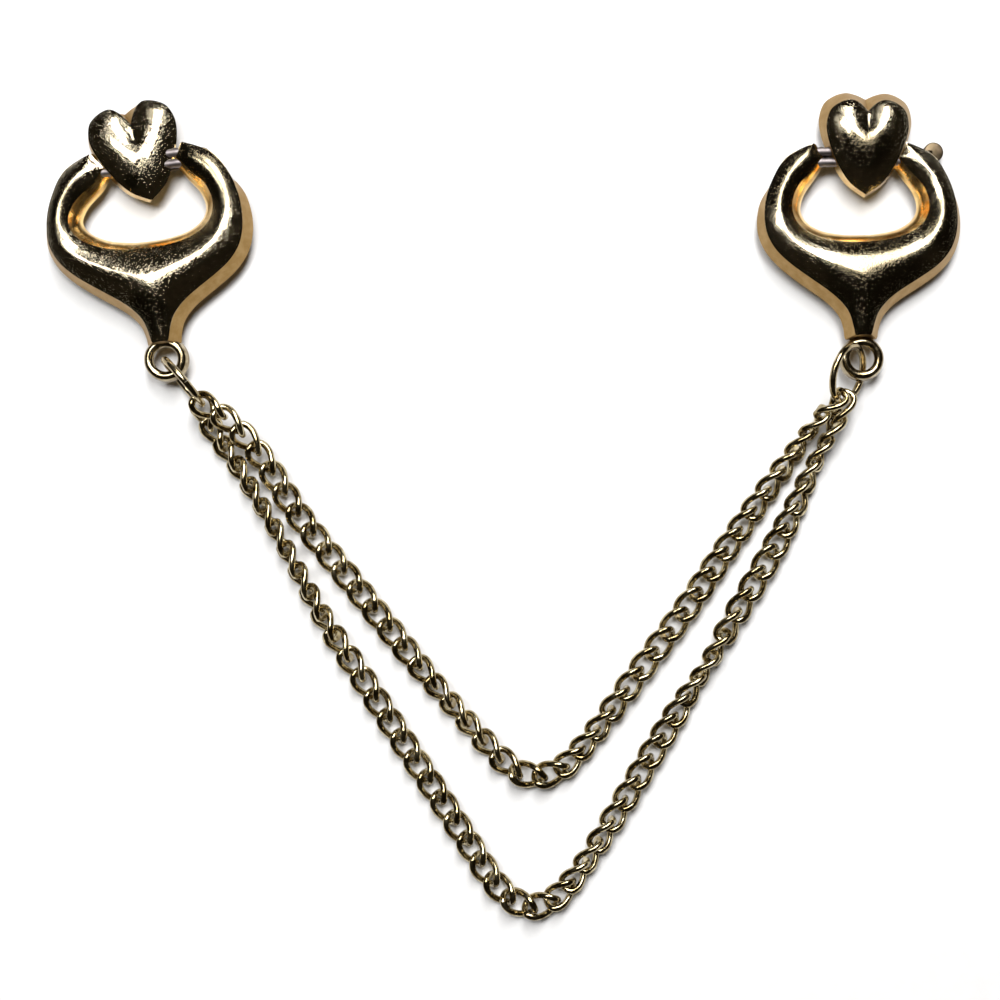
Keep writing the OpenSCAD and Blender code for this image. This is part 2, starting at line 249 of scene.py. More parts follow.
@dataclass(frozen=True)
class PolishedPlate:
    """Polished gold-tone plate with fine pits, cloudy rubbing, hairline scratches and painted shade in its
    rubbed places.
    """

    name: str
    bright: Colour
    deep: Colour
    smooth: float = 0.07
    cloudy: float = 0.11
    worn_rougher: float = 0.05
    # How far the colour darkens towards deep in the rubbed places: painted shade that dims their highlights
    worn_painted_shade: float = 0.85
    tone_spread: float = 0.35
    grain_per_mm: float = 6.2
    relief_depth: float = 0.0075
    pit_share: float = 0.8
    grain_share: float = 0.5
    worn_grain_share: float = 0.6
    hair_width: float = 0.02
    hair_depth: float = 0.0015
    patchiness: float = 0.3
    # Where the plate is rubbed and darkened as painted shade: the share of each place's reach that is full,
    # the height of its middle, and the places
    worn_and_shaded_core: float = 0.4
    worn_and_shaded_z: float = 4.0
    worn_and_shaded: Rows = ()

    def make(self) -> bpy.types.Material:
        """Builds the material.

        Returns:
            The material.
        """
        graph = Graph(self.name)
        place = graph.millimetres()
        clouds = graph.noise(place, 0.9, 3, 0.6).over(0.42, 0.66)
        # Share of rubbing and painted shade: it roughens and pits the plate and darkens its colour as
        # painted shade
        wear_and_shade = self._wear_and_painted_shade(graph, place)
        grain = graph.noise(place, self.grain_per_mm, 1, 0.4)
        pits = grain.over(0.6, 0.7)
        hairs = self._hairs(graph, 24, 0.9) + self._hairs(graph, -48, 0.7)
        pitted = pits * self.pit_share + grain * (wear_and_shade * self.worn_grain_share + self.grain_share)
        relief = graph.bump(hairs, self.hair_depth, graph.bump(pitted, self.relief_depth))
        tone = graph.noise(place, 1.3, 2).over(0.3, 0.7) * self.tone_spread + (1 - self.tone_spread)
        return graph.surface(
            # The colour darkens towards deep where rubbed: painted shade over the highlights there
            Base_Color=graph.blend(tone * (1 - wear_and_shade * self.worn_painted_shade), self.deep, self.bright),
            Metallic=1.0,
            Roughness=self.smooth + clouds * (self.cloudy - self.smooth) + wear_and_shade * self.worn_rougher,
            Normal=relief,
        )

    def _wear_and_painted_shade(self, graph: Graph, place: Signal) -> Signal:
        """The share of rubbing and painted shade: 1 in the middle of each rubbed place, which also darkens
        as painted shade, and 0 at its edge.

        Args:
            graph: The material's graph.
            place: The coordinates in millimetres.

        Returns:
            The share.
        """
        wear_and_shade = graph.noise(place, 0.3, 2).over(0.6, 0.8) * self.patchiness
        for x, y, reach in self.worn_and_shaded:
            ends = {0: place, 1: (x, y, self.worn_and_shaded_z)}
            away = graph.node("ShaderNodeVectorMath", {"operation": "DISTANCE"}, ends, "Value")
            wear_and_shade = wear_and_shade + (1 - away.over(reach * self.worn_and_shaded_core, reach))
        return wear_and_shade.over(0.0, 1.0)

    def _hairs(self, graph: Graph, turn: float, fineness: float) -> Signal:
        """Thin straight hairlines that run one way.

        Args:
            graph: The material's graph.
            turn: Which way they run, in degrees.
            fineness: How close together they lie.

        Returns:
            1 on a hairline and 0 beside it.
        """
        place = graph.millimetres((fineness * 9, fineness * 0.7, 1), turn)
        lines = abs(graph.noise(place, 1, 1) - 0.5)
        return 1 - lines.over(0.0, self.hair_width)


@dataclass(frozen=True)
class SatinSide:
    """The casting's side wall, plated but never polished, warm and matt."""

    name: str = "satin_side"
    bright: Colour = (0.4, 0.262, 0.106)
    deep: Colour = (0.31, 0.19, 0.062)
    roughness: float = 0.42
    grain_rougher: float = 0.12
    grain_depth: float = 0.006

    def make(self) -> bpy.types.Material:
        """Builds the material.

        Returns:
            The material.
        """
        graph = Graph(self.name)
        place = graph.millimetres()
        stain = graph.noise(place, 0.8, 3, 0.6).over(0.3, 0.75)
        grain = graph.noise(place, 7, 3, 0.6)
        return graph.surface(
            Base_Color=graph.blend(stain, self.deep, self.bright),
            Metallic=1.0,
            Roughness=self.roughness + grain * self.grain_rougher,
            Normal=graph.bump(grain, self.grain_depth),
        )


@dataclass(frozen=True)
class PlatedMetal:
    """Plating of wires and small fittings, clouded between two tones, with a fine grain."""

    name: str
    bright: Colour
    deep: Colour
    roughness: float = 0.2
    cloud_rougher: float = 0.08
    grain_depth: float = 0.004

    def make(self) -> bpy.types.Material:
        """Builds the material.

        Returns:
            The material.
        """
        graph = Graph(self.name)
        place = graph.millimetres()
        clouds = graph.noise(place, 0.9, 3, 0.6).over(0.35, 0.7)
        grain = graph.noise(place, 9, 2, 0.6)
        return graph.surface(
            Base_Color=graph.blend(clouds, self.deep, self.bright),
            Metallic=1.0,
            Roughness=self.roughness + clouds * self.cloud_rougher,
            Normal=graph.bump(grain, self.grain_depth),
        )


@dataclass(frozen=True)
class PalePaper:
    """The smooth pale sheet that the set lies on."""

    name: str = "pale_paper"
    bright: Colour = (0.79, 0.787, 0.784)
    deep: Colour = (0.77, 0.765, 0.76)
    roughness: float = 0.85
    shine: float = 0.2

    def make(self) -> bpy.types.Material:
        """Builds the material.

        Returns:
            The material.
        """
        graph = Graph(self.name)
        fibre = graph.noise(graph.millimetres(), 0.6, 3).over(0.25, 0.75)
        return graph.surface(
            Base_Color=graph.blend(fibre, self.deep, self.bright),
            Roughness=self.roughness,
            Specular_IOR_Level=self.shine,
        )


# Shapes


def smooth_rows(rows: Rows, steps: int) -> np.ndarray:
    """Runs a smooth curve through the rows of a table.

    Args:
        rows: The table.
        steps: New rows for each old one.

    Returns:
        The finer table, with the old rows in it.
    """
    table = np.asarray(rows, float)
    padded = np.vstack([table[:1], table, table[-1:]])
    share = np.arange(steps)[:, None] / steps
    spans = []
    for a, b, c, d in zip(padded[:-3], padded[1:-2], padded[2:-1], padded[3:]):
        square, cube = 2 * a - 5 * b + 4 * c - d, 3 * b - a - 3 * c + d
        spans.append(0.5 * (2 * b + (c - a) * share + square * share**2 + cube * share**3))
    return np.vstack([*spans, table[-1:]])


def rotation(degrees: float, axis: str = "Z") -> Matrix:
    """The matrix of a turn about an axis."""
    return Matrix.Rotation(math.radians(degrees), 4, axis)


def beside(line: np.ndarray, distance: np.ndarray) -> np.ndarray:
    """Moves a flat line of points to its left.

    Args:
        line: The points.
        distance: How far each point goes, in the line's own unit.

    Returns:
        The moved points.
    """
    ends = np.vstack([line[:1], line, line[-1:]])
    way = ends[2:] - ends[:-2]
    way /= np.linalg.norm(way, axis=1)[:, None]
    return line + distance[:, None] * np.stack([-way[:, 1], way[:, 0]], 1)


def turned(points: np.ndarray, degrees: float) -> np.ndarray:
    """Turns flat points about the origin.

    Args:
        points: The points, one a row.
        degrees: The turn, anticlockwise.

    Returns:
        The turned points.
    """
    c, s = math.cos(math.radians(degrees)), math.sin(math.radians(degrees))
    return points @ np.array([[c, s], [-s, c]])


def distances(line: np.ndarray) -> np.ndarray:
    """How far along a line of points each of them lies."""
    return np.concatenate([[0], np.cumsum(np.linalg.norm(np.diff(line, axis=0), axis=1))])


def pull_of(points: np.ndarray, line: np.ndarray, weights: np.ndarray, blur: float) -> np.ndarray:
    """How strongly a line of points holds down a puffed surface near it.

    Each straight stretch counts by the integral of one over the cube of its distance, so
    one long straight edge alone gives 2 over the square of the distance to it.

    Args:
        points: Flat points, one a row.
        line: The line's points in order.
        weights: One weight for each stretch.
        blur: A distance that is added to every distance, so a line may hold less firmly.

    Returns:
        The pull at each point.
    """
    start, end = line[:-1], line[1:]
    length = np.linalg.norm(end - start, axis=1)
    way = (end - start) / length[:, None]
    rel = points[:, None, :] - start[None]
    along = (rel * way[None]).sum(2)
    across = rel[..., 0] * way[None, :, 1] - rel[..., 1] * way[None, :, 0]
    square = across**2 + blur**2 + 1e-7
    far, near = along, along - length[None]
    share = far / np.sqrt(square + far**2) - near / np.sqrt(square + near**2)
    return (share / square * weights[None]).sum(1)


@dataclass(frozen=True)
class Puff:
    """How a cast face rounds over from its edges to its middle."""

    roundness: float
    edge_rise: float

    def height(self, pull: np.ndarray) -> np.ndarray:
        """Height over the edge.

        Args:
            pull: The pull of the edges at each point.

        Returns:
            The heights in millimetres.
        """
        reach = np.sqrt(2 / np.maximum(pull, 1e-9))
        start = math.sqrt(2 * self.roundness * self.edge_rise)
        return np.sqrt(2 * self.roundness * (reach + self.edge_rise)) - start


class Loft:
    """A skin that is drawn out of one closed loop of points, loop after loop."""

    def __init__(self, bm: bmesh.types.BMesh, first: np.ndarray) -> None:
        """Sets the first loop.

        Args:
            bm: The mesh under construction.
            first: The loop's points in millimetres.
        """
        self.bm = bm
        self.loop = [bm.verts.new(Vector(p) * MM) for p in first]
        self.first = self.loop
        self.edges = [bm.edges.new(pair) for pair in zip(self.loop, self.loop[1:] + self.loop[:1])]

    def draw(self, points: np.ndarray, finishes: Sequence[Metal] | Metal = Metal.FACE) -> "Loft":
        """Extrudes the last loop and sets its copy on new points.

        Args:
            points: The new loop's points in millimetres.
            finishes: The finish of the whole strip, or one for each face round it.

        Returns:
            The same loft.
        """
        grown = bmesh.ops.extrude_edge_only(self.bm, edges=self.edges)["geom"]
        fresh = {v for v in grown if isinstance(v, bmesh.types.BMVert)}
        loop = [next(o for e in v.link_edges if (o := e.other_vert(v)) in fresh) for v in self.loop]
        for vert, point in zip(loop, points):
            vert.co = Vector(point) * MM
        count = len(loop)
        for i in range(count):
            j = (i + 1) % count
            face = self.bm.faces.get((self.loop[i], self.loop[j], loop[j], loop[i]))
            finish = finishes if isinstance(finishes, Metal) else finishes[i]
            face.material_index = finish.value
        self.edges = [self.bm.edges.get((loop[i], loop[(i + 1) % count])) for i in range(count)]
        self.loop = loop
        return self

    def cap(self, finish: Metal = Metal.FACE) -> "Loft":
        """Closes the last loop with one face.

        Args:
            finish: The finish of the face.

        Returns:
            The same loft.
        """
        face = self.bm.faces.new(self.loop)
        face.material_index = finish.value
        return self

    def point(self) -> None:
        """Closes the last loop in one point in its middle."""
        middle = sum((v.co for v in self.loop), Vector()) / len(self.loop)
        bmesh.ops.pointmerge(self.bm, verts=self.loop, merge_co=middle)

    def join_ends(self) -> None:
        """Bridges the last loop to the first one."""
        start = [self.bm.edges.get(pair) for pair in zip(self.first, self.first[1:] + self.first[:1])]
        bmesh.ops.bridge_loops(self.bm, edges=self.edges + start)


def add_rod(bm: bmesh.types.BMesh, rows: Rows, sides: int, finish: Metal = Metal.FACE) -> None:
    """Draws a round rod along X.

    Args:
        bm: The mesh under construction.
        rows: The x, y and z of the rod's middle and its radius, from end to end.
        sides: How many sides it has.
        finish: The finish of the rod.
    """
    around = 2 * np.pi * np.arange(sides) / sides
    loft = None
    for x, y, z, r in rows:
        ring = np.stack([np.full(sides, x), y + r * np.cos(around), z + r * np.sin(around)], 1)
        loft = loft.draw(ring, finish) if loft else Loft(bm, ring).cap(finish)
    loft.cap(finish)


def finished(
    name: str, bm: bmesh.types.BMesh, materials: Sequence[bpy.types.Material], sharp: float
) -> bpy.types.Object:
    """Turns a mesh under construction into a smooth shaded object.

    Args:
        name: The object's name.
        bm: The mesh, in metres in the frame of the set. It is freed.
        materials: The object's materials in slot order.
        sharp: The angle in degrees over which an edge stays crisp, as it does round a matt wall.

    Returns:
        The object, linked to the scene.
    """
    bmesh.ops.remove_doubles(bm, verts=bm.verts, dist=1e-7)
    bmesh.ops.recalc_face_normals(bm, faces=bm.faces)
    for face in bm.faces:
        face.smooth = True
    for edge in bm.edges:
        sides = {face.material_index == Metal.WALL.value for face in edge.link_faces}
        edge.smooth = len(sides) < 2 and edge.calc_face_angle(0) < math.radians(sharp)
    mesh = bpy.data.meshes.new(name)
    bm.to_mesh(mesh)
    bm.free()
    for material in materials:
        mesh.materials.append(material)
    made = bpy.data.objects.new(name, mesh)
    bpy.context.scene.collection.objects.link(made)
    return made


def fit_to_frame(piece: bpy.types.Object, node: str) -> None:
    """Sets a finished piece in place of the plain solid that it stands for.

    Args:
        piece: The finished piece.
        node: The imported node.
    """
    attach(piece, "root")
    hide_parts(node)
    LOG.info("%s: %d faces for %s", piece.name, len(piece.data.polygons), node)


# The middle of the whole set in the frame of the tables, and the height of the castings' backs
MIDDLE = np.array([0.306, -0.462])
BACK_HEIGHT = 1.6


@dataclass(frozen=True)
class Seat:
    """Where one brooch lies, and how its casting differs from its twin's.

    Turns, tilt and lean are in degrees, and shares are of the drawn casting's size.
    """

    x: float
    y: float
    turn: float
    heart_share: float
    heart_turn: float
    heart_shift: Pair
    heart_wall: float
    heart_draw: float
    heart_ease: float
    heart_roundness: float
    notch: float
    face_shift: Pair
    pin_shift: Pair
    eyelet_shift: float
    frame_share: float = 1.0
    wider_hole: float = 0.0
    tilt: float = 0.0
    lean: float = 0.0

    def place(self, height: float = 0.0) -> Matrix:
        """The seat's matrix in metres, at a height in millimetres."""
        spot = Vector((self.x - MIDDLE[0], self.y - MIDDLE[1], height)) * MM
        return Matrix.Translation(spot) @ rotation(self.turn)

    def eyelet(self, drop: float) -> np.ndarray:
        """The eyelet's middle on the flat, in the set's frame."""
        below = turned(np.array([[0, self.eyelet_shift - drop]]), self.turn)[0]
        return np.array([self.x, self.y]) + below - MIDDLE


SEATS = {
    Side.LEFT: Seat(
        x=-37.1, y=30.25, turn=7.5, heart_share=0.945, heart_turn=8.2, heart_shift=(-0.42, -0.22),
        heart_wall=1.0, heart_draw=-0.01, heart_ease=1.7, heart_roundness=1.5, notch=1.5,
        face_shift=(0.5, 0.0), pin_shift=(-1.6, -0.7), eyelet_shift=0.25,
        frame_share=1.017, wider_hole=0.65, tilt=5.0,
    ),
    Side.RIGHT: Seat(
        x=37.76, y=30.87, turn=1.1, heart_share=1.015, heart_turn=-2.0, heart_shift=(0.8, 0.15),
        heart_wall=1.6, heart_draw=0.12, heart_ease=1.6, heart_roundness=2.1, notch=0.65,
        face_shift=(0.0, -0.55), pin_shift=(0.04, -0.195), eyelet_shift=-0.15, lean=5.5,
    ),
}


@dataclass
class HeartFrame:
    """One cast brooch front: open crescent frame, puffed heart, pegs and eyelet in one body."""

    side: Side
    wall_h: float = 1.8
    wall_lean: float = 0.8
    fuller_way: Pair = (0.7, -0.7)
    neck_edge_y: float = -13.4
    polished_sections: int = 15
    arm_round: float = 0.55
    arm_reach: float = 0.45
    puff: Puff = Puff(2.2, 2.0)
    heart_mid: Pair = (0.0, 6.9)
    polished_below: float = 2.0
    notch_half: float = 2.0
    crease_gap: float = 0.1
    crease_count: int = 7
    crease_step: float = 0.35
    crease_hold: float = 0.5
    crease_fade: float = 1.5
    crease_blur: float = 0.35
    peg_r: float = 0.5
    peg_start: float = 2.2
    peg_z: float = 0.7
    peg_ys: Pair = (4.85, 5.95)
    # How far along each peg, and its radius there as a share
    peg_swell: Rows = ((0, 1.0), (0.7, 0.94), (1.0, 1.04), (1.35, 0.9), (1.7, 1.08), (2.0, 0.96), (2.7, 1.0))
    eyelet_r: float = 1.77
    eyelet_wire_d: float = 1.0
    eyelet_drop: float = 15.65
    eyelet_foot: float = 0.1
    eyelet_matt_shaded_share: float = 0.3
    # Hole x and y, outer x and y, fuller right flank, lean of the two walls, share of a wider hole,
    # height of the wall as a share
    stations: Rows = (
        (3.5, 4.75, 4.77, 6.32, 0, 0.9, -0.5, -0.6, 0.7),
        (4.65, 3.05, 7.2, 5.17, 0, 1.1, -0.5, -0.7, 0.72),
        (5.65, 1.65, 8.72, 3.28, 0, 1.3, -0.35, 0.3, 0.77),
        (6.1, 0.2, 10.35, 0.85, -0.1, 1.3, 0.55, 1, 0.88),
        (5.8, -0.95, 10.7, -2.1, 0, 1.3, 0.85, 0.8, 1),
        (4.95, -1.75, 9.75, -4.5, 0.4, 1.25, 0.9, 0.4, 1),
        (3.85, -2.28, 8, -6.4, 0.6, 1.2, 0.95, 0.1, 1),
        (2.65, -2.55, 5.75, -8.15, 0.45, 1.2, 1, 0, 1),
        (1.6, -2.7, 3.55, -9.8, 0.25, 1.2, 1, 0, 1),
        (0.9, -2.74, 2.15, -11.5, 0.15, 1.2, 1, 0, 1),
        (0.45, -2.75, 1.65, -13.7, 0, 1.2, 1, 0, 1),
        (0, -2.75, 0, -13.7, 0, 1.2, 1, 0, 1),
    )
    # Section of the hole's wall, as shares of its lean and of its height
    hole_section: Rows = ((0, 0), (0.04, 0.2), (0.2, 0.45), (0.5, 0.71))
    # The right half of the heart's outline, from its tip to its notch
    heart_half: Rows = (
        (0, 1.1), (1.75, 2.3), (2.95, 3.85), (3.9, 5.7), (4.6, 7.6), (4.8, 9.2),
        (4.35, 10.75), (3.3, 11.6), (2.1, 11.95), (1, 11.75), (0, 11.3),
    )
    bm: bmesh.types.BMesh = field(init=False, default_factory=bmesh.new)

    @property
    def seat(self) -> Seat:
        """The seat of this side's brooch."""
        return SEATS[self.side]

    def edges(self) -> list[tuple[np.ndarray, ...]]:
        """The frame's lines from the arm's end to the neck.

        Returns:
            For the left and the right half, as if both were on the right: the hole's foot and
            top edge, the outer foot and top edge, and the height of both walls.
        """
        table = np.array(self.stations, float)
        rows = np.vstack([smooth_rows(table[:-1], 2), (table[-2] + table[-1]) / 2, table[-1]])
        halves = []
        for fuller, wider in ((0.0, self.seat.wider_hole), (1.0, 0.0)):
            hole_foot = rows[:, :2] + wider * rows[:, 7:8] * np.array([1, 0])
            hole_edge = beside(hole_foot, self.wall_lean * rows[:, 5])
            foot = rows[:, 2:4] + fuller * rows[:, 4:5] * np.array(self.fuller_way)
            edge = beside(foot, -self.wall_lean * rows[:, 6])
            edge[-3:, 0] = np.minimum(edge[-3:, 0], foot[-3:, 0] / 2)
            edge[-3:, 1] = self.neck_edge_y
            halves.append((hole_foot, hole_edge, foot, edge, self.wall_h * rows[:, 8:9]))
        return halves

    def add_frame(self, row_steps: int = 3, face_steps: int = 26) -> None:
        """Lofts the open frame, arm to arm through the neck.

        Args:
            row_steps: Sections for each row of the frame's lines.
            face_steps: Points across the puffed face.
        """
        flip = np.array([-1, 1])
        left, right = self.edges()
        outline = np.vstack([
            left[1] * flip, right[1][::-1][1:], right[3], (left[3] * flip)[::-1][1:], left[1][:1] * flip
        ])
        share = (1 - np.cos(np.pi * np.arange(face_steps + 1) / face_steps)) / 2
        across = [Metal.WALL] + [Metal.BORE] * len(self.hole_section) + [Metal.FACE] * face_steps
        halves = []
        for lines, way in ((left, flip), (right, np.array([1, 1]))):
            hole_foot, hole_edge, foot, edge, high = (smooth_rows(line, row_steps) for line in lines)
            spots = (hole_edge[:, None] + (edge - hole_edge)[:, None] * share[None, :, None]) * way
            pull = pull_of(spots.reshape(-1, 2), outline, np.ones(len(outline) - 1), 0.0)
            rise = self.puff.height(pull).reshape(len(foot), -1)
            rise[:, [0, -1]] = 0
            face = np.dstack([spots, high + rise])
            feet = [np.hstack([foot * way, 0 * high])[:, None]]
            for lean, height in self.hole_section:
                wall = (hole_foot + (hole_edge - hole_foot) * lean) * way
                feet.append(np.hstack([wall, high * height])[:, None])
            halves.append(np.hstack([*feet, face]))
        sections = [*halves[1], *halves[0][::-1][1:]]
        first = self._rounded_end(sections[0], sections[1])[::-1]
        last = self._rounded_end(sections[-1], sections[-2])
        sections = [*first, *sections, *last]
        # The arms' ends are polished on their outer side too, without the matt wall
        ends = self.polished_sections + len(first)
        loft = Loft(self.bm, sections[0] * self.seat.frame_share).cap()
        for i, section in enumerate(sections[1:]):
            outer = Metal.FACE if min(i, len(sections) - 2 - i) < ends else Metal.WALL
            loft.draw(section * self.seat.frame_share, [*across, outer])
        loft.cap()

    def _rounded_end(self, section: np.ndarray, inner: np.ndarray, steps: int = 4) -> list[np.ndarray]:
        """Sections that round an arm off beyond its end.

        Args:
            section: The arm's last section.
            inner: The section before it.
            steps: How many sections are added.

        Returns:
            The added sections, outwards.
        """
        flat = np.array([1, 1, 0])
        way = (section - inner).mean(0) * flat
        way /= np.linalg.norm(way)
        middle = section.mean(0) * flat
        added = []
        for angle in np.linspace(0, math.pi / 2, steps + 1)[1:]:
            size = 1 - self.arm_round * (1 - math.cos(angle))
            added.append(middle + (section - middle) * size + way * self.arm_reach * math.sin(angle))
        return added

    def add_heart(self, rings: int = 22) -> list[bmesh.types.BMVert]:
        """Draws the puffed heart up from its foot and in to its middle.

        Args:
            rings: Loops across the puffed face.

        Returns:
            The heart's vertices. It is drawn first, so the mesh holds no others.
        """
        half = smooth_rows(self.heart_half, 6)
        loop = np.vstack([half, (half[::-1] * np.array([-1, 1]))[1:-1]])
        mid = np.array(self.heart_mid)
        notch = half[-1]
        near_notch = np.clip(1 - np.abs(loop[:, 0]) / self.notch_half, 0, None)[:, None] ** 2
        dent = near_notch * np.array([0, -1]) * (loop[:, 1:] > mid[1])
        top = mid + (loop + dent * self.seat.notch - mid) * (1 - self.seat.heart_draw)
        puff = Puff(self.seat.heart_roundness, self.seat.heart_ease)
        edge = np.vstack([top, top[:1]])
        count = self.crease_count
        start = notch - [0, self.seat.notch + self.crease_gap]
        crease = start - np.outer(np.arange(count + 1), [0, self.crease_step])
        firm = self.crease_hold * (1 - np.arange(count) / count) ** self.crease_fade
        loft = Loft(self.bm, np.hstack([loop, np.zeros((len(loop), 1))])).cap(Metal.WALL)
        sides = [Metal.BORE if y < mid[1] - self.polished_below else Metal.WALL for y in loop[:, 1]]
        loft.draw(self._tilted(top, np.zeros(len(top))), sides)
        for ring in range(1, rings):
            size = math.cos(math.pi / 2 * ring / rings)
            spots = mid + (top - mid) * size
            pull = pull_of(spots, edge, np.ones(len(edge) - 1), 0.0)
            pull = pull + pull_of(spots, crease, firm, self.crease_blur)
            loft.draw(self._tilted(spots, puff.height(pull)))
        loft.point()
        return list(self.bm.verts)

    def _tilted(self, spots: np.ndarray, rise: np.ndarray) -> np.ndarray:
        """Sets points of the heart's face, tilted and shifted as this casting has them.

        Args:
            spots: Their places on the flat.
            rise: Their heights over the edge of the face.

        Returns:
            The points in space.
        """
        c, s = math.cos(math.radians(self.seat.tilt)), math.sin(math.radians(self.seat.tilt))
        x, y = self.seat.face_shift
        down = (spots[:, 1] - self.heart_mid[1]) * math.tan(math.radians(self.seat.lean))
        return np.stack([
            spots[:, 0] * c + rise * s + x,
            spots[:, 1] + y,
            self.seat.heart_wall + rise * c - spots[:, 0] * s + down,
        ], 1)

    def add_pegs(self) -> None:
        """Adds two short cast pegs on each side, from inside the heart to inside the arm."""
        for way, y in product((-1, 1), self.peg_ys):
            rows = [(way * (self.peg_start + x), y, self.peg_z, self.peg_r * r) for x, r in self.peg_swell]
            add_rod(self.bm, rows, 18, Metal.PEG)

    def add_eyelet(self) -> None:
        """Spins the eyelet's section, a round wire with a short leaning foot."""
        bm, r = self.bm, self.eyelet_wire_d / 2
        arc = np.radians(np.arange(0, 271, 15))
        section = [(self.eyelet_r + r * math.cos(a), r + r * math.sin(a)) for a in arc]
        section.append((self.eyelet_r + r + self.eyelet_foot, 0))
        y = self.seat.eyelet_shift - self.eyelet_drop
        before = len(bm.faces)
        verts = [bm.verts.new(Vector((x, y, z)) * MM) for x, z in section]
        edges = [bm.edges.new(pair) for pair in zip(verts, verts[1:] + verts[:1])]
        bmesh.ops.spin(
            bm, geom=verts + edges, cent=Vector((0, y, 0)) * MM, axis=(0, 0, 1), angle=2 * math.pi,
            steps=72, use_merge=True,
        )
        bm.faces.ensure_lookup_table()
        # The low band next to the paper takes the matt side metal, whose darker colour is painted shade
        # there
        for face in bm.faces[before:]:
            low = face.calc_center_median().z < self.eyelet_matt_shaded_share * r * MM
            face.material_index = (Metal.WALL if low else Metal.LOOP).value

    def build(self, materials: Sequence[bpy.types.Material]) -> bpy.types.Object:
        """Models the whole casting.

        Args:
            materials: The materials in the order of Metal.

        Returns:
            The finished object.
        """
        heart = self.add_heart()
        pivot = Vector((*self.heart_mid, 0)) * MM
        shift = Vector((*self.seat.heart_shift, 0)) * MM
        place = Matrix.Translation(pivot + shift) @ rotation(self.seat.heart_turn)
        place = place @ Matrix.Scale(self.seat.heart_share, 4) @ Matrix.Translation(-pivot)
        bmesh.ops.transform(self.bm, matrix=place, verts=heart)
        self.add_frame()
        self.add_pegs()
        self.add_eyelet()
        bmesh.ops.transform(self.bm, matrix=self.seat.place(BACK_HEIGHT), verts=self.bm.verts)
        return finished(f"{self.side.value}_brooch_casting", self.bm, materials, 38)


@dataclass
class PinBack:
    """The flat bar on the back with its hinge post, round catch and pointed stem."""

    side: Side
    bar_w: float = 1.3
    bar_t: float = 0.4
    span: float = 14.0
    catch_d: float = 2.1
    post_d: float = 1.3
    stem_d: float = 0.7
    stem_z: float = 0.6
    post_spot: Pair = (-6.0, 5.7)
    catch_y: float = 0.35
    bar_softening: float = 0.12
    drum_softening: float = 0.15
    # How far along the stem, and its radius there as a share
    taper: Rows = ((0, 1), (10.5, 1), (12.2, 0.8), (13.4, 0.5), (13.95, 0.2))
    bm: bmesh.types.BMesh = field(init=False, default_factory=bmesh.new)

    def build(self, material: bpy.types.Material) -> bpy.types.Object:
        """Models the pin back.

        Args:
            material: Its plated metal.

        Returns:
            The finished object.
        """
        bm = self.bm
        self._drum(0, 0, self.post_d / 2)
        self._drum(self.span, self.catch_y, self.catch_d / 2)
        bar = bmesh.ops.create_cube(bm, size=1)["verts"]
        bmesh.ops.scale(bm, vec=Vector((self.span, self.bar_w, self.bar_t)) * MM, verts=bar)
        bmesh.ops.translate(bm, vec=Vector((self.span / 2, 0, BACK_HEIGHT - self.bar_t / 2)) * MM, verts=bar)
        self._soften(bar, self.bar_softening)
        add_rod(bm, [(x, 0, self.stem_z, self.stem_d / 2 * share) for x, share in self.taper], 20)
        seat = SEATS[self.side]
        spot = Vector((*(np.array(self.post_spot) + seat.pin_shift), 0)) * MM
        bmesh.ops.transform(bm, matrix=seat.place() @ Matrix.Translation(spot), verts=bm.verts)
        return finished(f"{self.side.value}_brooch_pin", bm, [material], 40)

    def _drum(self, x: float, y: float, radius: float) -> None:
        """Stands a round post from the cloth side to the casting, with softened rims.

        Args:
            x: Its place along the bar.
            y: Its place across the bar.
            radius: Its radius.
        """
        sizes = {"radius1": radius * MM, "radius2": radius * MM, "depth": BACK_HEIGHT * MM}
        drum = bmesh.ops.create_cone(self.bm, cap_ends=True, segments=40, **sizes)["verts"]
        bmesh.ops.translate(self.bm, vec=Vector((x, y, BACK_HEIGHT / 2)) * MM, verts=drum)
        self._soften(drum, self.drum_softening)

    def _soften(self, verts: Sequence[bmesh.types.BMVert], width: float) -> None:
        """Rounds the crisp edges among some vertices.

        Args:
            verts: The vertices.
            width: How much of each face the rounding takes.
        """
        own = set(verts)
        edges = [e for e in self.bm.edges if set(e.verts) <= own and e.calc_face_angle(0) > math.radians(50)]
        bmesh.ops.bevel(
            self.bm, geom=edges, offset=width * MM, segments=3, profile=0.5, affect="EDGES", material=-1
        )


